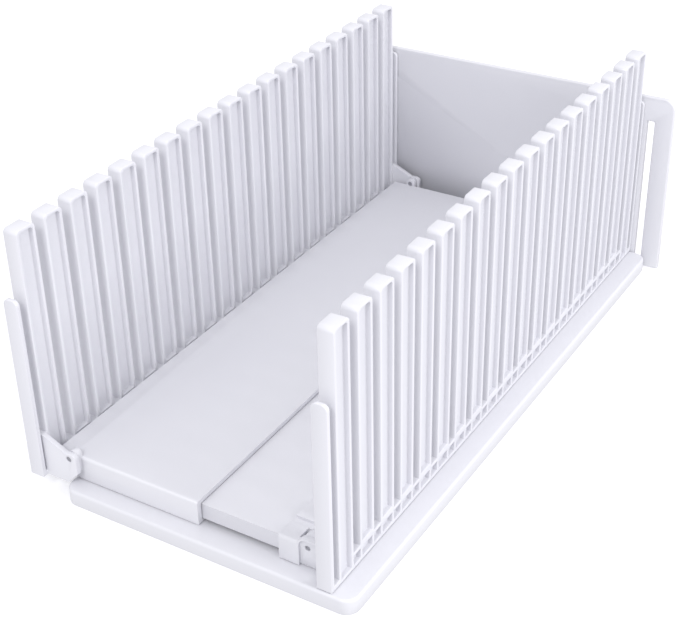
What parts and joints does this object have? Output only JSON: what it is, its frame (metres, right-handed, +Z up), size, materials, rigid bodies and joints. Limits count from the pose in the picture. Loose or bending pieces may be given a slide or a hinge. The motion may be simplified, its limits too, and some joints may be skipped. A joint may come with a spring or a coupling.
{
  "type": "bread slicer guide",
  "caption": "Folding bread slicing guide: slotted side walls hinged on a floor that slides to the loaf's width, a crumb tray below and a lift-off end stop.",
  "frame": {"origin": "on the table, under the middle of the channel between the combs as set in the picture, half way along the combs' slats", "axes": "+X to the right across the channel, +Y to the back along the loaf towards the end stop, +Z up"},
  "size_m": [0.1446, 0.2498, 0.0981],
  "materials": {
    "tray_plastic": "glossy moulded",
    "floor_plastic": "glossy moulded",
    "comb_plastic": "glossy moulded",
    "stop_plastic": "glossy moulded",
    "pin_steel": "plain wire"
  },
  "bodies": {
    "right_floor": {"right_floor": "floor_plastic", "front_right_hinge_pin": "pin_steel", "back_right_hinge_pin": "pin_steel"},
    "left_floor": {"left_floor": "floor_plastic", "front_left_hinge_pin": "pin_steel", "back_left_hinge_pin": "pin_steel"},
    "right_comb": {"right_comb": "comb_plastic"},
    "left_comb": {"left_comb": "comb_plastic"},
    "crumb_tray": {"crumb_tray": "tray_plastic"},
    "end_stop": {"end_stop": "stop_plastic"}
  },
  "joints": [
    {"name": "floor_width_slide", "type": "slide", "parent": "right_floor", "child": "left_floor", "axis": [1, 0, 0], "range_m": [-0.01, 0.015]},
    {"name": "right_comb_fold", "type": "hinge", "parent": "right_floor", "child": "right_comb", "pos_m": [0.047, 0, 0.0134], "axis": [0, -1, 0], "range_deg": [0, 90]},
    {"name": "left_comb_fold", "type": "hinge", "parent": "left_floor", "child": "left_comb", "pos_m": [-0.044, 0, 0.0163], "axis": [0, 1, 0], "range_deg": [0, 90]},
    {"name": "crumb_tray_slide", "type": "slide", "parent": "right_floor", "child": "crumb_tray", "axis": [0, -1, 0], "range_m": [0, 0.16]},
    {"name": "end_stop_lift", "type": "slide", "parent": "right_floor", "child": "end_stop", "axis": [0, 0, 1], "range_m": [0, 0.08]}
  ]
}
